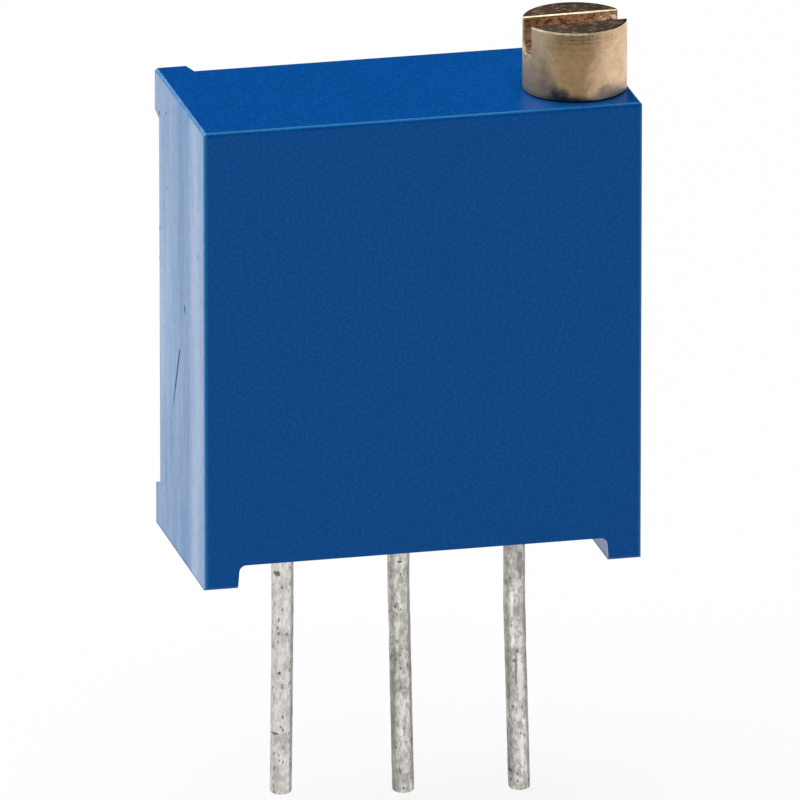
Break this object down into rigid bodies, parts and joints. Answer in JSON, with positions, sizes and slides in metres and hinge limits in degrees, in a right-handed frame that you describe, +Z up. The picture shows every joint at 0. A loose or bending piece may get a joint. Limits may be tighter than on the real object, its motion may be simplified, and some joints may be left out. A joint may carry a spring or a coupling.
{
  "type": "trimmer potentiometer",
  "caption": "Square moulded multi-turn trimmer potentiometer with a slotted brass worm screw on top and round in-line pins below, for fine resistance setting on a circuit board.",
  "frame": {"origin": "on the middle pin's axis, level with the undersides of the foot rails, where the part meets a board", "axes": "+Z up from the pins to the screw, +X to the right seen from the plain front face, +Y from front to rear"},
  "size_m": [0.0096, 0.0046, 0.0175],
  "materials": {
    "case_blue": "satin moulded blue plastic",
    "screw_brass": "turned, tarnished brass",
    "pin_tin": "tinned copper wire, mottled",
    "seal_rubber": "black rubber",
    "clip_steel": "stamped spring steel",
    "wheel_plastic": "natural moulded plastic",
    "wiper_alloy": "stamped copper alloy spring",
    "ceramic": "fired alumina",
    "track_film": "fired resistive film",
    "conductor_film": "fired silver alloy film",
    "solder_alloy": "solder",
    "potting_resin": "blue cast resin"
  },
  "bodies": {
    "case": {"housing": "case_blue", "retaining_clip": "clip_steel", "substrate": "ceramic", "resistive_track": "track_film", "left_conductor": "conductor_film", "middle_conductor": "conductor_film", "right_conductor": "conductor_film", "left_pin": "pin_tin", "middle_pin": "pin_tin", "right_pin": "pin_tin", "left_solder": "solder_alloy", "middle_solder": "solder_alloy", "right_solder": "solder_alloy", "potting": "potting_resin"},
    "screw": {"adjusting_screw": "screw_brass", "screw_seal": "seal_rubber"},
    "wheel": {"worm_wheel": "wheel_plastic", "wiper": "wiper_alloy"}
  },
  "joints": [
    {"name": "screw_turn", "type": "hinge", "parent": "case", "child": "screw", "pos_m": [0.00361, -0.00098, 0.01019], "axis": [0, 0, 1], "range_deg": [-4500, 4500]},
    {"name": "wheel_turn", "type": "hinge", "parent": "case", "child": "wheel", "pos_m": [0, -0.00098, 0.00536], "axis": [0, 1, 0], "range_deg": [-136.5, 136.5]}
  ],
  "couplings": [
    {"joint": "wheel_turn", "follows": "screw_turn", "ratio": 0.030303}
  ]
}
